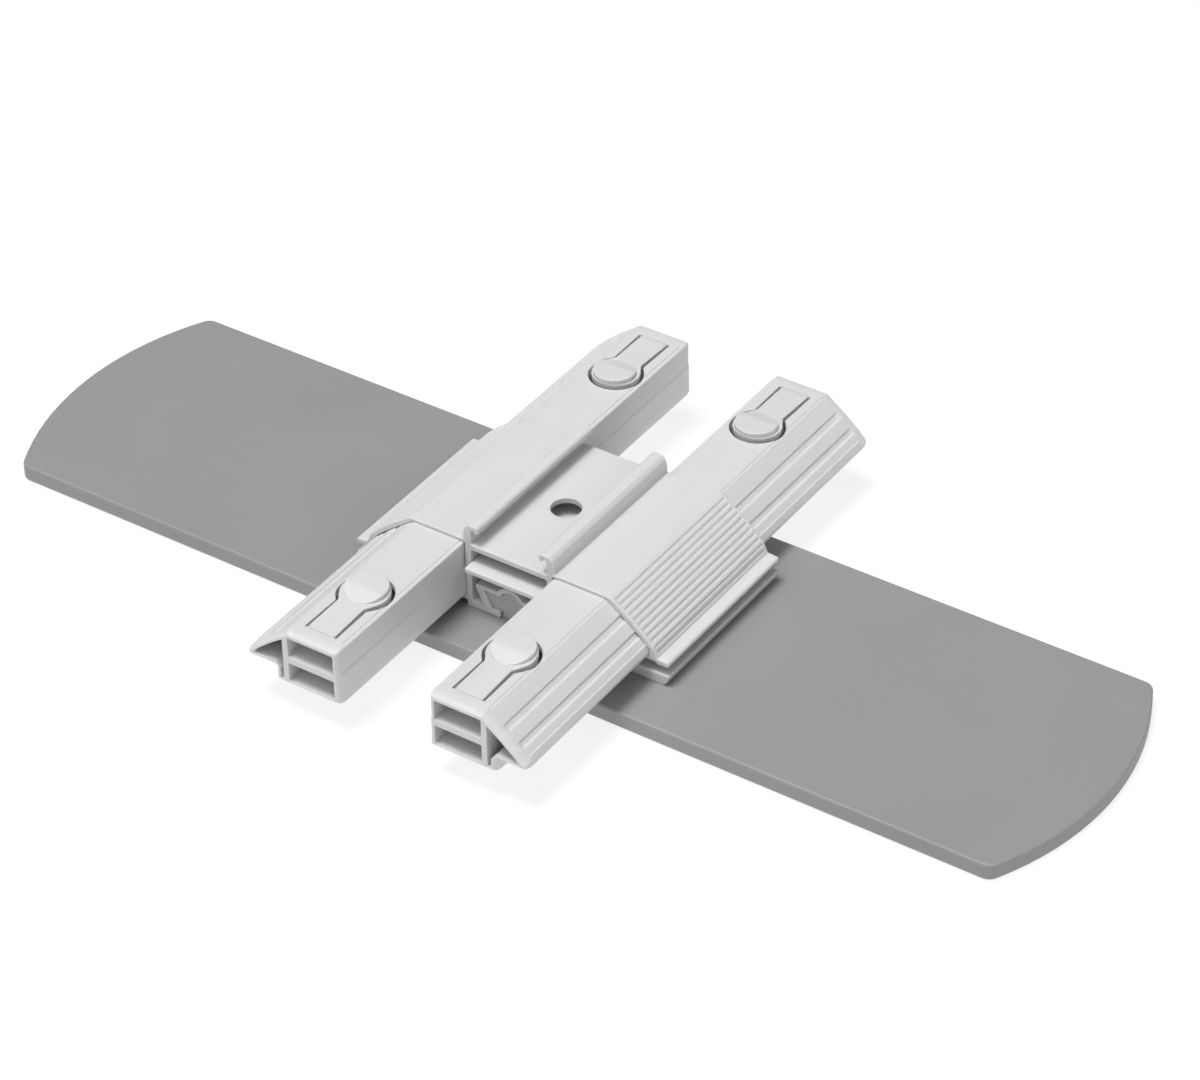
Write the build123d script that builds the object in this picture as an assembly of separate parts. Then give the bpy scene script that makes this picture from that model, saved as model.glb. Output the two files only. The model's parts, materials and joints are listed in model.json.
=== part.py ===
from build123d import *
import math
import os

# Foot connector for a plug-together hollow frame profile.
# A flat steel foot plate carries a moulded centre sleeve; two double-ended
# plug arms pass through the sleeve, each with a sprung snap tongue at either
# end.  Millimetres, +X along the plate, +Y along the arms, +Z up, origin on
# the underside of the plate at its centre.

# ------------------------------------------------------------ dimensions
# foot plate
PLATE_T = 6.0            # sheet thickness
PLATE_HALF_W = 51.5      # half width across the arms (Y)
PLATE_END_X = 200.0      # end arc extreme
PLATE_CORNER_X = 186.6   # virtual corner of the straight edge and the end arc
PLATE_CORNER_R = 4.5     # corner radius in plan
PLATE_EDGE_R = 0.8       # top and bottom edge rounding

# fasteners through the plate
CLAMP_Y = 18.0           # the two clamp screws sit at y = +-CLAMP_Y
CLAMP_R = 2.48           # M5 thread, major radius less running clearance
CLAMP_HOLE_R = 2.5       # tapped hole, at the major radius
CLAMP_PASS_R = 2.75      # clearance hole in the plate
CLAMP_HEAD_R = 4.9       # countersunk head
CLAMP_TIP_Z = 14.0

# sleeve
SL_Y = 32.7              # half length
SL_Z0 = PLATE_T          # stands on the plate
WEB_Z0, WEB_Z1 = 29.3, 31.2
WALL_X0, WALL_X1 = 14.65, 16.75    # inner walls beside the centre chamber
SL_TOP = 32.5
SL_EDGE_R = 0.4          # rounding of the end edges
ACCESS_R = 5.2           # round access hole in the web
FLANGE_TOP = 8.5         # inward floor flanges that the clamp block holds
FLANGE_X = 3.9           # their inner edge
ROOF_Z0, ROOF_Z1 = 14.6, 16.4      # roof of the dovetail channel
ARCH_Z, ARCH_R0, ARCH_R1 = 13.3, 4.0, 5.7
LEDGE_Z0, LEDGE_Z1, LEDGE_W = 21.4, 22.7, 1.2
CHAMBER_FLOOR = 10.15
RECESS_Z = 8.2           # underside of the chamber floor
GROOVE_X = 43.9          # inner end of the fabric-edge groove
GROOVE_Z0, GROOVE_Z1 = 10.15, 14.1
RIB_N, RIB_PITCH, RIB_FIRST = 11, 2.14, 1.95
RIB_R, RIB_OFF, RIB_Y = 0.80, 0.47, 31.9

# arms
ARM_Y = 100.5            # half length
ARM_X0, ARM_X1 = 16.93, 53.0       # foot of the inner side, outer side
ARM_TOP_X0 = 17.3                  # the inner side steps back to this at the top
ARM_Z0, ARM_Z1 = 10.4, 31.26
ARM_MAIN_Y = 95.6        # fluted length
ARM_PLAIN_Y = 97.2       # flutes have run out
TONGUE_X = 27.95         # middle of the top wall
HEAD_Y = 70.9            # centre of the round head
NECK_Y = 78.6
ROOT_Y = 94.4
HEAD_R, HEAD_GAP_R = 8.2, 9.45
NECK_W, ROOT_W = 4.88, 5.1         # half widths of the tongue
SLOT_W = 1.0
TONGUE_LIFT = 1.9        # degrees that the free tongue stands up from the top face
TOP_WALL_Z = 29.2        # underside of the top wall
CAP_R, CAP_Y = 7.2, 70.0           # round push cap and its centre
CAP_H, CAP_LOW = 1.75, 0.05        # cap height over the tongue: flat part, foot of the ramp
CAP_RAMP_Y, CAP_BLEND = 71.5, 6.0  # where the ramp starts, rounding between the two

# arm fixing screws (from below, through the chamber floor)
AS_X, AS_Y = 27.95, 20.0
AS_R, AS_HOLE_R = 1.73, 1.75
AS_HEAD_R = 3.4
AS_TIP_Z = 19.0
BOSS_R = 3.7

# centre plate
CP_X, CP_Y = 14.5, 36.6
CP_Z0, CP_Z1 = 22.7, 24.5

# clamp block
CB_Y = 31.7
CB_Z0 = 6.15             # clear of the plate, so that the screws clamp
CB_RIB_H, CB_RIB_PITCH, CB_RIB_W = 0.18, 1.25, 0.30    # fine ribs on its end faces


# ------------------------------------------------------------ helpers
def corner_wire(pts, place):
    """Closed wire through (a, b) or (a, b, r) corners; r rounds the corner.
    place(a, b) gives the point in space."""
    n = len(pts)
    runs = []
    for i in range(n):
        p = Vector(pts[i][0], pts[i][1])
        r = pts[i][2] if len(pts[i]) > 2 else 0.0
        a = Vector(pts[i - 1][0], pts[i - 1][1])
        b = Vector(pts[(i + 1) % n][0], pts[(i + 1) % n][1])
        if r <= 0:
            runs.append((p, None, p))
            continue
        u = (p - a).normalized()
        v = (b - p).normalized()
        dot = max(-1.0, min(1.0, u.X * v.X + u.Y * v.Y))
        turn = math.acos(dot)
        if turn < 1e-4:
            runs.append((p, None, p))
            continue
        t = r * math.tan(turn / 2)
        s = p - u * t
        e = p + v * t
        m = (v - u).normalized()
        mid = p + m * (r / math.cos(turn / 2) - r)
        runs.append((s, mid, e))
    edges = []
    for i in range(n):
        s, mid, e = runs[i]
        if mid is not None:
            edges.append(Edge.make_three_point_arc(place(s.X, s.Y), place(mid.X, mid.Y), place(e.X, e.Y)))
        nxt = runs[(i + 1) % n][0]
        if (nxt - e).length > 1e-6:
            edges.append(Edge.make_line(place(e.X, e.Y), place(nxt.X, nxt.Y)))
    return Wire(edges)


def section(pts, y):
    """Face in the X-Z plane at y."""
    return Face(corner_wire(pts, lambda a, b: Vector(a, y, b)))


def run_y(pts, y0, y1):
    """X-Z section run along Y from y0 to y1."""
    return Solid.extrude(section(pts, y0), Vector(0, y1 - y0, 0))


def plan(pts, z0, z1):
    """X-Y outline run up from z0 to z1."""
    return Solid.extrude(Face(corner_wire(pts, lambda a, b: Vector(a, b, z0))), Vector(0, 0, z1 - z0))


def rod_y(r, x, z, y0, y1):
    return Solid.make_cylinder(r, y1 - y0, Plane(origin=(x, y0, z), z_dir=(0, 1, 0)))


def rod_z(r, x, y, z0, z1):
    return Solid.make_cylinder(r, z1 - z0, Plane(origin=(x, y, z0), z_dir=(0, 0, 1)))


def cone_z(r0, r1, x, y, z0, z1):
    return Solid.make_cone(r0, r1, z1 - z0, Plane(origin=(x, y, z0), z_dir=(0, 0, 1)))


def block(x0, x1, y0, y1, z0, z1):
    return Solid.make_box(x1 - x0, y1 - y0, z1 - z0, Plane(origin=(x0, y0, z0)))


def flip_x(pts):
    return [(-p[0],) + tuple(p[1:]) for p in reversed(pts)]


def mir(shape):
    return mirror(shape, Plane.YZ)


def end_rims(solid, y):
    """Outer edges of the flat end faces at y."""
    out = []
    for f in solid.faces():
        c = f.center()
        if abs(c.Y - y) < 1e-3 and abs(abs(f.normal_at(c).Y) - 1) < 1e-3:
            out += list(f.outer_wire().edges())
    return out


def one(shape):
    """The single solid of a boolean result."""
    s = shape.solids()
    if len(s) != 1:
        raise ValueError("expected one solid, got %d" % len(s))
    return s[0]


# ------------------------------------------------------------ foot plate
# end arc through (PLATE_CORNER_X, +-PLATE_HALF_W) and (PLATE_END_X, 0)
sag = PLATE_END_X - PLATE_CORNER_X
end_r = (PLATE_HALF_W ** 2 + sag ** 2) / (2 * sag)
end_cx = PLATE_END_X - end_r
# centre of the small corner arc: PLATE_CORNER_R inside both edges
cy = PLATE_HALF_W - PLATE_CORNER_R
cx = end_cx + math.sqrt((end_r - PLATE_CORNER_R) ** 2 - cy ** 2)
k = end_r / (end_r - PLATE_CORNER_R)
tx, ty = end_cx + (cx - end_cx) * k, cy * k     # tangent point on the end arc
am = (math.atan2(ty - cy, tx - cx) + math.pi / 2) / 2
mx, my = cx + PLATE_CORNER_R * math.cos(am), cy + PLATE_CORNER_R * math.sin(am)
W = PLATE_HALF_W
plate_edges = [
    Edge.make_line((-cx, -W, 0), (cx, -W, 0)),
    Edge.make_three_point_arc((cx, -W, 0), (mx, -my, 0), (tx, -ty, 0)),
    Edge.make_three_point_arc((tx, -ty, 0), (PLATE_END_X, 0, 0), (tx, ty, 0)),
    Edge.make_three_point_arc((tx, ty, 0), (mx, my, 0), (cx, W, 0)),
    Edge.make_line((cx, W, 0), (-cx, W, 0)),
    Edge.make_three_point_arc((-cx, W, 0), (-mx, my, 0), (-tx, ty, 0)),
    Edge.make_three_point_arc((-tx, ty, 0), (-PLATE_END_X, 0, 0), (-tx, -ty, 0)),
    Edge.make_three_point_arc((-tx, -ty, 0), (-mx, -my, 0), (-cx, -W, 0)),
]
foot_plate = Solid.extrude(Face(Wire(plate_edges)), Vector(0, 0, PLATE_T))
rim = [e for e in foot_plate.edges()
       if abs(e.center().Z) < 1e-3 or abs(e.center().Z - PLATE_T) < 1e-3]
foot_plate = foot_plate.fillet(PLATE_EDGE_R, rim)
for s in (-1, 1):
    foot_plate = foot_plate - rod_z(CLAMP_PASS_R, 0, s * CLAMP_Y, -1, PLATE_T + 1)
    foot_plate = foot_plate - cone_z(CLAMP_HEAD_R + 0.3 + 0.5, CLAMP_PASS_R - 0.02, 0, s * CLAMP_Y,
                                     -0.5, CLAMP_HEAD_R + 0.3 - CLAMP_PASS_R + 0.02)
foot_plate = one(foot_plate)

# ------------------------------------------------------------ centre sleeve
# slope of the outer skin, from the top edge down to the lip
slope = [(38.5, SL_TOP), (45.85, 27.25), (51.4, 22.55), (54.6, 19.3), (56.2, 15.6)]
outer = [
    (0, WEB_Z1), (14.6, WEB_Z1, 0.4),
    # inward hook of the top rail, with its small downward lip
    (14.6, 35.7, 0.5), (14.3, 36.75, 0.4), (13.55, 36.95, 0.35), (13.05, 36.05, 0.3),
    (12.2, 35.75, 0.4), (11.7, 36.6, 0.5), (11.75, 38.0, 0.5), (12.5, 38.6, 0.6),
    (15.6, 38.6, 1.0), (16.9, 37.3, 1.6), (17.55, 35.0, 2.0),
    (17.6, SL_TOP, 0.5),
    (38.5, SL_TOP, 5.0), (45.85, 27.25, 8.0), (51.4, 22.55, 8.0), (54.6, 19.3, 2.5),
    # flat lip over the groove
    (56.2, 15.6, 0.15), (60.4, 15.4, 1.0), (60.4, 13.4, 0.9),
    (56.2, 13.4, 0.6), (55.0, GROOVE_Z1, 0.4),
    (GROOVE_X, GROOVE_Z1, 0.5), (GROOVE_X, GROOVE_Z0, 0.5),
    # floor flange, its outer side leaning under
    (60.6, GROOVE_Z0, 0.45), (59.7, 7.4, 0.8), (58.5, SL_Z0),
    (0, SL_Z0),
]
outer_all = outer[1:-1] + flip_x(outer[1:-1])
sleeve = run_y(outer_all, -SL_Y, SL_Y)

# centre chamber, roof of the dovetail channel standing in it
chamber = [
    (-WALL_X0, FLANGE_TOP, 1.2), (WALL_X0, FLANGE_TOP, 1.2),
    (WALL_X0, LEDGE_Z0), (WALL_X0 - LEDGE_W, LEDGE_Z0, 0.2), (WALL_X0 - LEDGE_W, LEDGE_Z1, 0.2),
    (WALL_X0, LEDGE_Z1), (WALL_X0, WEB_Z0, 0.8), (-WALL_X0, WEB_Z0, 0.8),
    (-WALL_X0, LEDGE_Z1), (-WALL_X0 + LEDGE_W, LEDGE_Z1, 0.2), (-WALL_X0 + LEDGE_W, LEDGE_Z0, 0.2),
    (-WALL_X0, LEDGE_Z0),
]
void = run_y(chamber, -SL_Y - 1, SL_Y + 1)
dovetail_out = [(-10.1, FLANGE_TOP - 1.0), (10.1, FLANGE_TOP - 1.0), (10.1, FLANGE_TOP),
                (13.9, ROOF_Z1, 1.2), (-13.9, ROOF_Z1, 1.2), (-10.1, FLANGE_TOP)]
keep = run_y(dovetail_out, -SL_Y - 2, SL_Y + 2) + rod_y(ARCH_R1, 0, ARCH_Z, -SL_Y - 2, SL_Y + 2)
sleeve = sleeve - (void - keep)
# inside of the dovetail channel and the slot between the floor flanges
dovetail_in = [(-7.05, FLANGE_TOP), (7.05, FLANGE_TOP), (10.35, ROOF_Z0, 0.4), (-10.35, ROOF_Z0, 0.4)]
flange_slot = [(-FLANGE_X - 0.4, SL_Z0 - 1), (-FLANGE_X - 0.4, SL_Z0), (-FLANGE_X, SL_Z0 + 0.4),
               (-FLANGE_X, FLANGE_TOP - 0.3), (-FLANGE_X - 0.3, FLANGE_TOP), (-FLANGE_X - 0.3, FLANGE_TOP + 1),
               (FLANGE_X + 0.3, FLANGE_TOP + 1), (FLANGE_X + 0.3, FLANGE_TOP), (FLANGE_X, FLANGE_TOP - 0.3),
               (FLANGE_X, SL_Z0 + 0.4), (FLANGE_X + 0.4, SL_Z0), (FLANGE_X + 0.4, SL_Z0 - 1)]
sleeve = sleeve - run_y(dovetail_in, -SL_Y - 1, SL_Y + 1)
sleeve = sleeve - run_y(flange_slot, -SL_Y - 1, SL_Y + 1)
arch = rod_y(ARCH_R0, 0, ARCH_Z, -SL_Y - 1, SL_Y + 1) & block(-5, 5, -SL_Y - 2, SL_Y + 2, ROOF_Z0 - 1.4, 20)
sleeve = sleeve - arch

# the two chambers that the arms pass through
arm_chamber = [
    (WALL_X1, 10.2, 0.3), (42.15, 10.2, 0.3), (42.15, 15.75, 1.3), (53.15, 15.75, 0.3),
    (53.25, 18.25, 0.3), (50.25, 21.4, 0.5), (44.7, 25.82, 0.5), (37.15, 31.41, 0.8), (WALL_X1, 31.41, 0.8),
]
recess = [(WALL_X1, SL_Z0 - 1), (WALL_X1, RECESS_Z, 0.6), (44.0, RECESS_Z, 0.6), (44.0, SL_Z0 - 1)]
for pts in (arm_chamber, recess):
    cut = run_y(pts, -SL_Y - 1, SL_Y + 1)
    sleeve = sleeve - cut - mir(cut)

# access hole through the web
sleeve = sleeve - rod_z(ACCESS_R, 0, 0, WEB_Z0 - 1, WEB_Z1 + 1)

# countersunk holes for the arm screws
for sx in (-1, 1):
    for sy in (-1, 1):
        sleeve = sleeve - rod_z(AS_HOLE_R + 0.25, sx * AS_X, sy * AS_Y, RECESS_Z - 0.5, 10.5)
        sleeve = sleeve - cone_z(AS_HEAD_R + 0.25 + 0.3, AS_HOLE_R + 0.25 - 0.02, sx * AS_X, sy * AS_Y,
                                 RECESS_Z - 0.3, RECESS_Z + AS_HEAD_R - AS_HOLE_R + 0.02)

# fine grip ribs along the slope, left between round-ended grooves
sleeve = one(sleeve)
cuts = []
for i in range(RIB_N):
    d = RIB_FIRST + RIB_PITCH * i
    for (x0, z0), (x1, z1) in zip(slope, slope[1:]):
        seg = math.hypot(x1 - x0, z1 - z0)
        if d <= seg or (x1, z1) == slope[-1]:
            break
        d -= seg
    nx, nz = -(z1 - z0) / seg, (x1 - x0) / seg
    gx, gz = x0 + (x1 - x0) * d / seg + nx * RIB_OFF, z0 + (z1 - z0) * d / seg + nz * RIB_OFF
    g = rod_y(RIB_R, gx, gz, -(RIB_Y - RIB_R), RIB_Y - RIB_R)
    for sy in (-1, 1):
        g = g + Solid.make_sphere(RIB_R, Plane(origin=(gx, sy * (RIB_Y - RIB_R), gz)))
    cuts += [g, mir(g)]
for g in cuts:
    sleeve = sleeve - g
sleeve = one(sleeve)
centre_sleeve = sleeve.fillet(SL_EDGE_R, end_rims(sleeve, -SL_Y) + end_rims(sleeve, SL_Y))

# ------------------------------------------------------------ plug arms
# right-hand arm section; the fluted one and the plain one of the nose have
# the same corners, so that the flutes run out into the nose
inner_side = [(ARM_TOP_X0, ARM_Z1, 0.8), (ARM_TOP_X0, 22.4), (17.05, 21.4), (17.05, 14.9), (ARM_X0, 13.9)]
wing_foot = [(ARM_X0, ARM_Z0, 0.6), (42.0, ARM_Z0, 0.6), (42.0, 15.9, 1.2)]
arm_fluted = wing_foot + [
    (ARM_X1, 15.9, 0.5), (ARM_X1, 17.4, 0.3), (52.05, 19.38), (51.55, 19.5),
    (49.87, 21.21), (48.87, 21.21), (47.77, 22.05), (47.77, 22.98),      # lower flute
    (44.72, 25.6), (43.72, 25.6), (42.38, 26.53), (42.38, 27.31),        # upper flute
    (39.2, 29.7), (38.0, 30.55), (37.95, 30.7), (36.8, 31.0), (36.75, ARM_Z1, 0.1),
] + inner_side
arm_plain = wing_foot + [
    (ARM_X1, 15.9, 0.5), (ARM_X1, 18.0, 0.45), (52.05, 18.98), (51.55, 19.5),
    (49.87, 21.21), (49.1, 21.86), (48.3, 22.53), (47.77, 22.98),
    (44.72, 25.6), (44.1, 26.06), (43.2, 26.71), (42.38, 27.31),
    (39.6, 29.39), (38.9, 29.92), (38.2, 30.44), (37.75, 30.775), (37.1, ARM_Z1, 0.5),
] + inner_side


def shrink(pts, inset):
    """Corners moved inwards so that every side lies inset further in."""
    out = []
    n = len(pts)
    for i in range(n):
        p = Vector(pts[i][0], pts[i][1])
        u = (p - Vector(pts[i - 1][0], pts[i - 1][1])).normalized()
        v = (Vector(pts[(i + 1) % n][0], pts[(i + 1) % n][1]) - p).normalized()
        nu, nv = Vector(-u.Y, u.X), Vector(-v.Y, v.X)
        q = p + (nu + nv) * (inset / (1 + nu.dot(nv)))
        r = pts[i][2] if len(pts[i]) > 2 else 0.0
        convex = u.X * v.Y - u.Y * v.X > 0
        out.append((q.X, q.Y, max(0.18, r - 0.3 * inset) if convex else r) if r > 0 else (q.X, q.Y))
    return out


def loft_y(list_of):
    """Ruled body through X-Z sections [(points, y), ...]."""
    wires = [corner_wire(p, lambda a, b, yy=y: Vector(a, yy, b)) for p, y in list_of]
    return Solid.make_loft(wires, True)


# the nose draws in towards the end: (inset, y)
nose = [(0.0, ARM_PLAIN_Y), (0.07, 98.2), (0.26, 99.2), (0.58, 99.95), (1.05, ARM_Y)]
arm = run_y(arm_fluted, -ARM_MAIN_Y, ARM_MAIN_Y)
for s in (-1, 1):
    arm = arm + loft_y([(arm_fluted, s * ARM_MAIN_Y), (arm_plain, s * ARM_PLAIN_Y)])
    for (i0, y0), (i1, y1) in zip(nose, nose[1:]):
        arm = arm + loft_y([(shrink(arm_plain, i0), s * y0), (shrink(arm_plain, i1), s * y1)])
arm = one(arm)
arm = arm.fillet(0.3, end_rims(arm, -ARM_Y) + end_rims(arm, ARM_Y))

# hollow cells, right through
upper_cell = [(19.1, 21.65, 0.5), (36.7, 21.65, 0.5), (36.7, TOP_WALL_Z, 0.5), (19.1, TOP_WALL_Z, 0.5)]
lower_cell = [(19.1, 12.1, 0.5), (36.7, 12.1, 0.5), (36.7, 19.35, 0.5), (19.1, 19.35, 0.5)]
wing_cell = [(38.7, 12.1, 0.3), (40.1, 12.1, 0.3), (40.1, 15.6, 1.2), (41.9, 17.75, 1.2), (50.05, 17.75, 0.2),
             (50.25, 18.1, 0.2), (48.8, 19.85, 0.3), (43.5, 24.35, 0.5), (38.7, 27.9, 0.3)]
bosses = None
for sy in (-1, 1):
    b = rod_z(BOSS_R, AS_X, sy * AS_Y, 11.0, 20.5)
    bosses = b if bosses is None else bosses + b
for pts in (upper_cell, wing_cell):
    arm = arm - run_y(pts, -ARM_Y - 1, ARM_Y + 1)
arm = arm - (run_y(lower_cell, -ARM_Y - 1, ARM_Y + 1) - bosses)
for sy in (-1, 1):
    arm = arm - rod_z(AS_HOLE_R, AS_X, sy * AS_Y, 9.0, AS_TIP_Z + 0.5)

# shallow step along the inner top edge
arm = arm - block(ARM_X0 - 1, 18.9, -ARM_MAIN_Y, ARM_MAIN_Y, ARM_Z1 - 0.22, ARM_Z1 + 1)


def tongue_plan(half_neck, half_root, r, y_root):
    """Corners of the strip and its tangents to the round head (front end)."""
    dist = math.hypot(half_neck, NECK_Y - HEAD_Y)
    ang = math.atan2(half_neck, NECK_Y - HEAD_Y) + math.acos(r / dist)
    hx, hy = r * math.sin(ang), -HEAD_Y - r * math.cos(ang)
    x = TONGUE_X
    return [(x - half_root, -y_root), (x + half_root, -y_root), (x + half_neck, -NECK_Y), (x + hx, hy),
            (x, -HEAD_Y), (x - hx, hy), (x - half_neck, -NECK_Y)]


open_pts = tongue_plan(NECK_W + SLOT_W, ROOT_W + SLOT_W, HEAD_GAP_R, ROOT_Y)
opening = plan(open_pts, TOP_WALL_Z - 0.4, ARM_Z1 + 1) + rod_z(HEAD_GAP_R, TONGUE_X, -HEAD_Y, TOP_WALL_Z - 0.4, ARM_Z1 + 1)
arm = arm - opening - mirror(opening, Plane.XZ)
plug_arm_right = one(arm)
plug_arm_left = one(mir(plug_arm_right))

# ------------------------------------------------------------ snap tongues
# built for the front end of the right-hand arm, then mirrored
t_pts = tongue_plan(NECK_W, ROOT_W, HEAD_R, ROOT_Y - 0.03)
tongue = plan(t_pts, TOP_WALL_Z, ARM_Z1) + rod_z(HEAD_R, TONGUE_X, -HEAD_Y, TOP_WALL_Z, ARM_Z1)
# the root face leans back so that the tongue can swing down
lean = Solid.extrude(Face(Wire.make_polygon([
    Vector(TONGUE_X - 8, -ROOT_Y - 1, TOP_WALL_Z - 0.5), Vector(TONGUE_X - 8, -ROOT_Y + 0.30, TOP_WALL_Z - 0.5),
    Vector(TONGUE_X - 8, -ROOT_Y + 0.03, ARM_Z1), Vector(TONGUE_X - 8, -ROOT_Y + 0.03, ARM_Z1 + 1),
    Vector(TONGUE_X - 8, -ROOT_Y - 1, ARM_Z1 + 1)], close=True)), Vector(16, 0, 0))
tongue = tongue - lean
# push cap: a round button, flat towards the sleeve, with a ramp down to the
# root side that the frame profile slides up
ramp = (CAP_H - CAP_LOW) / (CAP_Y + CAP_R - CAP_RAMP_Y)
y_far = CAP_Y + CAP_R + 1.5
side = [(-y_far, ARM_Z1 - 0.8), (-CAP_Y + CAP_R + 1, ARM_Z1 - 0.8), (-CAP_Y + CAP_R + 1, ARM_Z1 + CAP_H),
        (-CAP_RAMP_Y, ARM_Z1 + CAP_H, CAP_BLEND), (-y_far, ARM_Z1 + CAP_H - ramp * (y_far - CAP_RAMP_Y))]
cap = Solid.extrude(Face(corner_wire(side, lambda a, b: Vector(TONGUE_X - 10, a, b))), Vector(20, 0, 0))
cap = one(cap & rod_z(CAP_R, TONGUE_X, -CAP_Y, ARM_Z1 - 0.6, ARM_Z1 + 4))
cap = cap.fillet(0.3, [e for e in cap.edges() if e.geom_type != GeomType.LINE and e.center().Z > ARM_Z1 - 0.4])
tongue = one(tongue + cap)
# free tongues stand up a little from the top face
tongue = tongue.rotate(Axis((TONGUE_X, -ROOT_Y, ARM_Z1), (1, 0, 0)), TONGUE_LIFT)
snap_tongue_front_right = one(tongue)
snap_tongue_front_left = one(mir(tongue))
snap_tongue_back_right = one(mirror(tongue, Plane.XZ))
snap_tongue_back_left = one(mir(snap_tongue_back_right))

# ------------------------------------------------------------ centre plate
centre_plate = block(-CP_X, CP_X, -CP_Y, CP_Y, CP_Z0, CP_Z1)
centre_plate = centre_plate.fillet(0.3, centre_plate.edges())

# ------------------------------------------------------------ clamp block
block_pts = [(-3.4, CB_Z0), (3.4, CB_Z0), (3.4, FLANGE_TOP), (6.8, FLANGE_TOP, 0.2), (10.05, 14.4, 0.4),
             (-10.05, 14.4, 0.4), (-6.8, FLANGE_TOP, 0.2), (-3.4, FLANGE_TOP)]
clamp = run_y(block_pts, -CB_Y + CB_RIB_H, CB_Y - CB_RIB_H) + rod_y(3.8, 0, ARCH_Z, -CB_Y + CB_RIB_H, CB_Y - CB_RIB_H)
# raised slanting ribs on both end faces
end_pts = run_y(block_pts, -CB_Y, CB_Y) + rod_y(3.8, 0, ARCH_Z, -CB_Y, CB_Y)
ribs = None
for i in range(-14, 15):
    xm = i * CB_RIB_PITCH
    w = CB_RIB_W
    strip = Solid.extrude(section([(xm + 5.0 - w, 5.0), (xm + 5.0 + w, 5.0), (xm - 2.28 + w, 19.0), (xm - 2.28 - w, 19.0)],
                                  -CB_Y), Vector(0, CB_RIB_H + 0.1, 0))
    ribs = strip if ribs is None else ribs + strip
ribs = ribs + mirror(ribs, Plane.XZ)
clamp = clamp + (ribs & end_pts)
for s in (-1, 1):
    clamp = clamp - rod_z(CLAMP_HOLE_R, 0, s * CLAMP_Y, 0, CLAMP_TIP_Z + 1.0)
clamp_block = one(clamp)

# ------------------------------------------------------------ screws
def hex_socket(r, x, y, z0, z1):
    pts = [(x + r * math.cos(math.radians(60 * i)), y + r * math.sin(math.radians(60 * i))) for i in range(6)]
    return plan(pts, z0, z1)


clamp_list = []
for s in (-1, 1):
    y = s * CLAMP_Y
    screw = rod_z(CLAMP_R, 0, y, 1.0, CLAMP_TIP_Z - 0.5)
    screw = screw + cone_z(CLAMP_R, CLAMP_R - 0.5, 0, y, CLAMP_TIP_Z - 0.5, CLAMP_TIP_Z)
    screw = screw + cone_z(CLAMP_HEAD_R, CLAMP_R, 0, y, 0.3, 0.3 + CLAMP_HEAD_R - CLAMP_R)
    screw = screw - hex_socket(1.73, 0, y, 0.0, 2.2)
    clamp_list.append(one(screw))
clamp_screws = Compound(children=clamp_list)

arm_list = []
for sx in (-1, 1):
    for sy in (-1, 1):
        x, y = sx * AS_X, sy * AS_Y
        screw = rod_z(AS_R, x, y, RECESS_Z + 0.5, AS_TIP_Z - 1.5)
        screw = screw + cone_z(AS_R, 0.4, x, y, AS_TIP_Z - 1.5, AS_TIP_Z)
        screw = screw + cone_z(AS_HEAD_R, AS_R, x, y, RECESS_Z, RECESS_Z + AS_HEAD_R - AS_R)
        for w, l in ((0.45, 1.9), (1.9, 0.45)):
            screw = screw - block(x - w, x + w, y - l, y + l, RECESS_Z - 0.5, RECESS_Z + 1.1)
        arm_list.append(one(screw))
arm_screws = Compound(children=arm_list)

# ------------------------------------------------------------ output
os.makedirs("parts", exist_ok=True)
nodes = {
    "foot_plate": foot_plate,
    "centre_sleeve": centre_sleeve,
    "plug_arm_left": plug_arm_left,
    "plug_arm_right": plug_arm_right,
    "snap_tongue_front_left": snap_tongue_front_left,
    "snap_tongue_front_right": snap_tongue_front_right,
    "snap_tongue_back_left": snap_tongue_back_left,
    "snap_tongue_back_right": snap_tongue_back_right,
    "centre_plate": centre_plate,
    "clamp_block": clamp_block,
    "clamp_screws": clamp_screws,
    "arm_screws": arm_screws,
}
for name, shape in nodes.items():
    export_step(shape, "parts/%s.step" % name)
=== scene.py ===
import bpy
import json
import math
from mathutils import Matrix, Vector

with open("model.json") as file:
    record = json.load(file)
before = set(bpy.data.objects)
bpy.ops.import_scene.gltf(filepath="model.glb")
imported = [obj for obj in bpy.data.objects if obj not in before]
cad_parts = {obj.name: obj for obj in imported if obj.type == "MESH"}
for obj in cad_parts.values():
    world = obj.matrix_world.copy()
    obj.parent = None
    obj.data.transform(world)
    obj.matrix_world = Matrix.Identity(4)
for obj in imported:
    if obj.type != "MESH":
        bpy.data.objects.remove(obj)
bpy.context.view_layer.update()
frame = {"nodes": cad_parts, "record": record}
nodes = frame["nodes"]


# ------------------------------------------------------------ material tools
def new_material(name):
    m = bpy.data.materials.new(name)
    m.use_nodes = True
    nt = m.node_tree
    nt.nodes.clear()
    out = nt.nodes.new("ShaderNodeOutputMaterial")
    bsdf = nt.nodes.new("ShaderNodeBsdfPrincipled")
    nt.links.new(bsdf.outputs["BSDF"], out.inputs["Surface"])
    return m, nt, bsdf


def coords(nt, scale=(1, 1, 1)):
    tc = nt.nodes.new("ShaderNodeTexCoord")
    mp = nt.nodes.new("ShaderNodeMapping")
    mp.inputs["Scale"].default_value = scale
    nt.links.new(tc.outputs["Object"], mp.inputs["Vector"])
    return mp.outputs["Vector"]


def noise(nt, vec, scale, detail=3.0, rough=0.5):
    n = nt.nodes.new("ShaderNodeTexNoise")
    n.inputs["Scale"].default_value = scale
    n.inputs["Detail"].default_value = detail
    n.inputs["Roughness"].default_value = rough
    nt.links.new(vec, n.inputs["Vector"])
    return n.outputs["Fac"]


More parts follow.
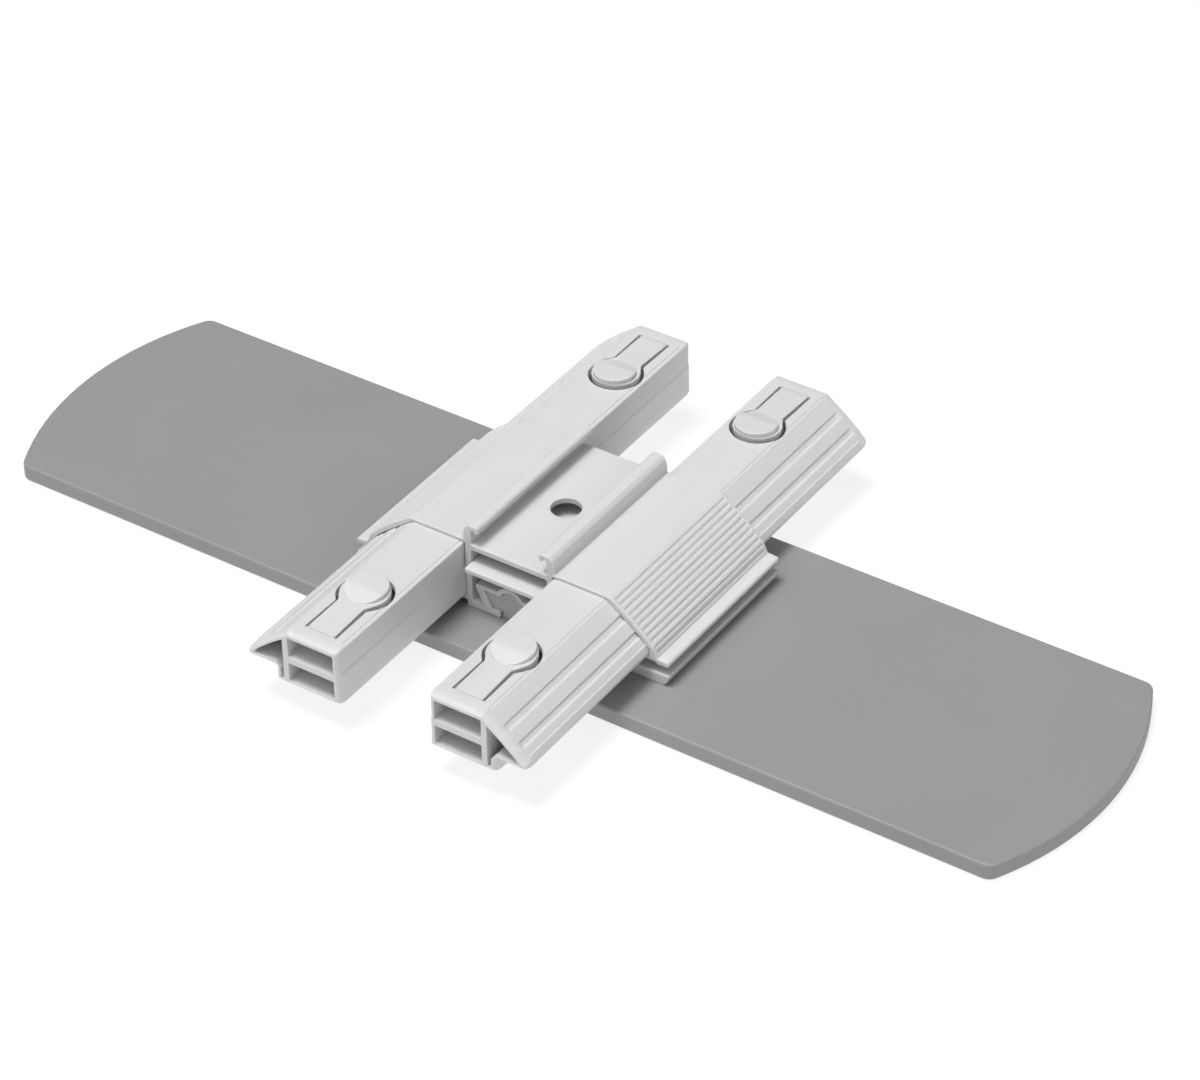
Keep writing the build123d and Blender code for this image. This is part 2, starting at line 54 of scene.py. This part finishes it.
def ramp(nt, fac, stops):
    r = nt.nodes.new("ShaderNodeValToRGB")
    while len(r.color_ramp.elements) < len(stops):
        r.color_ramp.elements.new(0.5)
    for e, (p, c) in zip(r.color_ramp.elements, stops):
        e.position = p
        e.color = c if len(c) == 4 else (c[0], c[1], c[2], 1)
    nt.links.new(fac, r.inputs["Fac"])
    return r.outputs["Color"]


def remap(nt, fac, lo, hi):
    m = nt.nodes.new("ShaderNodeMapRange")
    m.inputs["To Min"].default_value = lo
    m.inputs["To Max"].default_value = hi
    nt.links.new(fac, m.inputs["Value"])
    return m.outputs["Result"]


def bump(nt, height, strength, distance, normal=None):
    b = nt.nodes.new("ShaderNodeBump")
    b.inputs["Strength"].default_value = strength
    b.inputs["Distance"].default_value = distance
    nt.links.new(height, b.inputs["Height"])
    if normal is not None:
        nt.links.new(normal, b.inputs["Normal"])
    return b.outputs["Normal"]


def edge(nt, radius):
    """Normal of slightly rounded edges."""
    b = nt.nodes.new("ShaderNodeBevel")
    b.samples = 8
    b.inputs["Radius"].default_value = radius
    return b.outputs["Normal"]


def grey(v):
    return (v, v, v, 1)


# ------------------------------------------------------------ materials
def make_plastic():
    """White moulded plastic, satin: fine spark texture and a faint flow."""
    m, nt, b = new_material("white_plastic")
    v = coords(nt)
    flow = noise(nt, coords(nt, (1, 0.35, 1)), 55.0, 2.0, 0.45)
    grain = noise(nt, v, 2600.0, 3.0, 0.6)
    col = ramp(nt, flow, [(0.30, grey(0.655)), (0.70, grey(0.675))])
    nt.links.new(col, b.inputs["Base Color"])
    nt.links.new(remap(nt, grain, 0.36, 0.50), b.inputs["Roughness"])
    b.inputs["Specular IOR Level"].default_value = 0.45
    b.inputs["IOR"].default_value = 1.5
    # light goes a little way into the moulding, which softens slots and creases
    b.inputs["Subsurface Weight"].default_value = 0.35
    b.inputs["Subsurface Radius"].default_value = (1.0, 1.0, 1.0)
    b.inputs["Subsurface Scale"].default_value = 0.0022
    nt.links.new(bump(nt, grain, 0.12, 0.00004, edge(nt, 0.00012)), b.inputs["Normal"])
    return m


def make_powder():
    """Mid grey powder coat: fine orange peel and specks."""
    m, nt, b = new_material("grey_coating")
    v = coords(nt)
    peel = noise(nt, v, 900.0, 2.0, 0.5)
    speck = noise(nt, v, 4200.0, 2.0, 0.6)
    tone = noise(nt, v, 22.0, 2.0, 0.4)
    c = ramp(nt, tone, [(0.3, grey(0.292)), (0.7, grey(0.304))])
    mix = nt.nodes.new("ShaderNodeMix")
    mix.data_type = "RGBA"
    mix.blend_type = "MULTIPLY"
    mix.inputs["Factor"].default_value = 1.0
    nt.links.new(c, mix.inputs["A"])
    nt.links.new(ramp(nt, speck, [(0.35, grey(0.93)), (0.65, grey(1.0))]), mix.inputs["B"])
    nt.links.new(mix.outputs["Result"], b.inputs["Base Color"])
    nt.links.new(remap(nt, speck, 0.42, 0.56), b.inputs["Roughness"])
    b.inputs["Specular IOR Level"].default_value = 0.5
    n1 = bump(nt, peel, 0.10, 0.00008)
    nt.links.new(bump(nt, speck, 0.08, 0.00003, n1), b.inputs["Normal"])
    return m


def make_block():
    m, nt, b = new_material("grey_block")
    v = coords(nt, (1, 0.08, 1))
    lines = noise(nt, v, 1500.0, 3.0, 0.6)
    nt.links.new(ramp(nt, lines, [(0.3, grey(0.50)), (0.7, grey(0.60))]), b.inputs["Base Color"])
    nt.links.new(remap(nt, lines, 0.42, 0.58), b.inputs["Roughness"])
    b.inputs["Metallic"].default_value = 0.1
    nt.links.new(bump(nt, lines, 0.15, 0.00004), b.inputs["Normal"])
    return m


def make_steel():
    m, nt, b = new_material("zinc_screw")
    v = coords(nt)
    g = noise(nt, v, 900.0, 3.0, 0.6)
    nt.links.new(ramp(nt, g, [(0.3, grey(0.48)), (0.7, grey(0.58))]), b.inputs["Base Color"])
    nt.links.new(remap(nt, g, 0.28, 0.42), b.inputs["Roughness"])
    b.inputs["Metallic"].default_value = 1.0
    return m


mats = {"white_plastic": make_plastic(), "grey_coating": make_powder(),
        "grey_block": make_block(), "zinc_screw": make_steel()}
slot_of = {s["node"]: s["material_slot"] for s in frame["record"]["subparts"]}
for n, o in nodes.items():
    o.data.materials.clear()
    o.data.materials.append(mats[slot_of[n]])

# ------------------------------------------------------------ floor
bpy.ops.mesh.primitive_plane_add(size=8.0, location=(0, 0, -0.0002))
floor = bpy.context.object
floor.name = "floor"
fm, nt, b = new_material("floor_white")
b.inputs["Base Color"].default_value = grey(0.20)
b.inputs["Roughness"].default_value = 0.95
b.inputs["Specular IOR Level"].default_value = 0.0
b.inputs["Emission Color"].default_value = grey(1.0)
b.inputs["Emission Strength"].default_value = 0.80
floor.data.materials.append(fm)

# ------------------------------------------------------------ lights
world = bpy.data.worlds.new("studio")
bpy.context.scene.world = world
world.use_nodes = True
wt = world.node_tree
bg = wt.nodes["Background"]
bg.inputs["Color"].default_value = (1, 1, 1, 1)
direction = wt.nodes.new("ShaderNodeTexCoord").outputs["Generated"]


def maths(op, a, b):
    m = wt.nodes.new("ShaderNodeMath")
    m.operation = op
    for k, v in enumerate((a, b)):
        if isinstance(v, (int, float)):
            m.inputs[k].default_value = v
        else:
            wt.links.new(v, m.inputs[k])
    return m.outputs["Value"]


def soft_wall(towards, power, strength):
    """Large soft light on the side of the studio that lies towards a direction."""
    d = wt.nodes.new("ShaderNodeVectorMath")
    d.operation = "DOT_PRODUCT"
    d.inputs[1].default_value = Vector(towards).normalized()
    wt.links.new(direction, d.inputs[0])
    return maths("MULTIPLY", maths("POWER", maths("MAXIMUM", d.outputs["Value"], 0.0), power), strength)


total = maths("ADD", soft_wall((0, -1, 0.8), 6.0, 0.50), soft_wall((1, 0, 0.15), 2.0, 0.30))
total = maths("ADD", total, soft_wall((1, 0, 1), 6.0, 0.48))
total = maths("ADD", total, soft_wall((0, 0, 1), 6.0, 0.18))
wt.links.new(total, bg.inputs["Strength"])


def overhead(name, aim, energy, spread):
    d = bpy.data.lights.new(name, "SUN")
    d.energy = energy
    d.angle = math.radians(spread)
    o = bpy.data.objects.new(name, d)
    o.rotation_euler = Vector(aim).to_track_quat("-Z", "Y").to_euler()
    bpy.context.scene.collection.objects.link(o)
    return d, o


sun_d, sun = overhead("overhead_main", (0.15, 0.15, -1.0), 1.95, 20)
sun2_d, sun2 = overhead("overhead_soft", (0.25, 0.3, -1.0), 1.0, 60)

# ------------------------------------------------------------ camera
RIGHT = Vector((0.8312713098279384, 0.5557334890148129, -0.012177793082757293))
DOWN = Vector((0.3287974519371276, -0.5092464970550709, -0.7953365582172065))
FWD = Vector((-0.4481966589083367, 0.6571364351674334, -0.6060457577764583))
cam_d = bpy.data.cameras.new("camera")
cam_d.sensor_fit = "HORIZONTAL"
cam_d.sensor_width = 36.0
cam_d.lens = 36.0 * 4337.5 / 1200.0
cam_d.clip_start = 0.01
cam_d.clip_end = 50.0
cam = bpy.data.objects.new("camera", cam_d)
bpy.context.scene.collection.objects.link(cam)
cam.matrix_world = Matrix.Translation(Vector((0.6365, -0.9143, 0.8668))) @ Matrix((
    (RIGHT.x, -DOWN.x, -FWD.x), (RIGHT.y, -DOWN.y, -FWD.y), (RIGHT.z, -DOWN.z, -FWD.z))).to_4x4()
bpy.context.scene.camera = cam

bpy.context.scene.view_settings.view_transform = "Standard"
bpy.context.scene.view_settings.look = "None"
